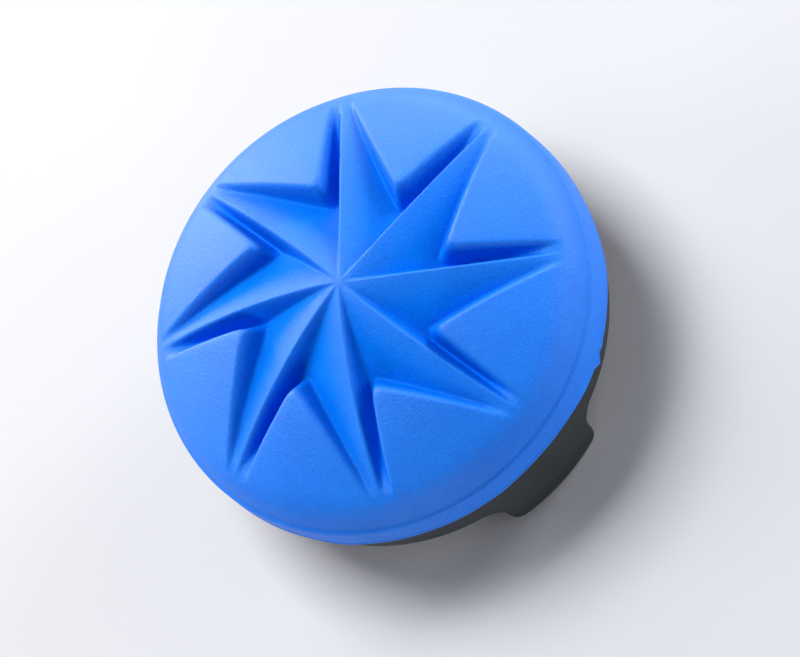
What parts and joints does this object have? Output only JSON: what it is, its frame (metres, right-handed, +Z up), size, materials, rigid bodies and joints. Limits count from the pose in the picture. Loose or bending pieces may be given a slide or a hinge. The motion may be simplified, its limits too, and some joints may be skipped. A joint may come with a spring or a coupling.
{
  "type": "controller thumb grip",
  "caption": "Domed soft rubber thumb grip with a recessed star tread on a plastic clip core whose hooked prongs clip over a thumbstick's head.",
  "frame": {"origin": "middle of the plane that the prong feet stand on, under the dome's middle", "axes": "+Z up the grip's axis towards the dome, -Y towards one prong"},
  "size_m": [0.021, 0.021, 0.0102],
  "materials": {
    "tread_rubber": "soft matte moulded",
    "core_plastic": "fine satin texture"
  },
  "bodies": {
    "root": {"tread_cap": "tread_rubber", "clip_core": "core_plastic"}
  },
  "joints": []
}
